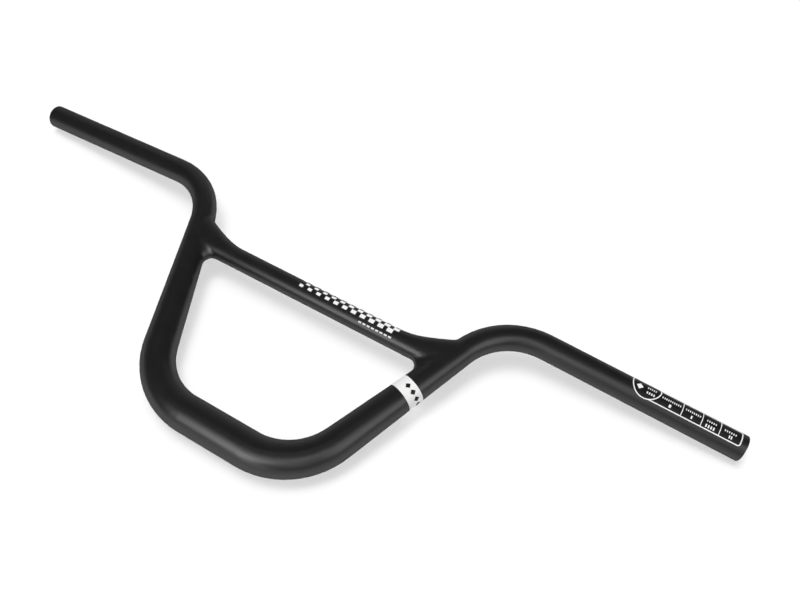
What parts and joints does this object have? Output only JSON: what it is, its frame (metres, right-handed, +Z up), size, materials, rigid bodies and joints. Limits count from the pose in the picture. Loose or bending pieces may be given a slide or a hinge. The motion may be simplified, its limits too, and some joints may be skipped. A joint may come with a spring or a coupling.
{
  "type": "bmx handlebar",
  "caption": "One-piece hollow BMX handlebar with a straight stem clamp section, tapering bent legs, a crossbar that flares into them, and swept-back grips.",
  "frame": {"origin": "centre of the stem clamp section, on its axis", "axes": "+X along the clamp section to the right-hand grip as the front is seen, +Y from the clamp towards the grips, +Z up from the surface that the bar lies on, front side up"},
  "size_m": [0.7258, 0.231, 0.0386],
  "materials": {
    "bar_skin": "satin black moulded carbon-fibre composite",
    "white_print": "flat white print on the bar's surface",
    "panel_print": "flat black print on the bar's surface"
  },
  "bodies": {
    "root": {"handlebar": "bar_skin"}
  },
  "joints": []
}
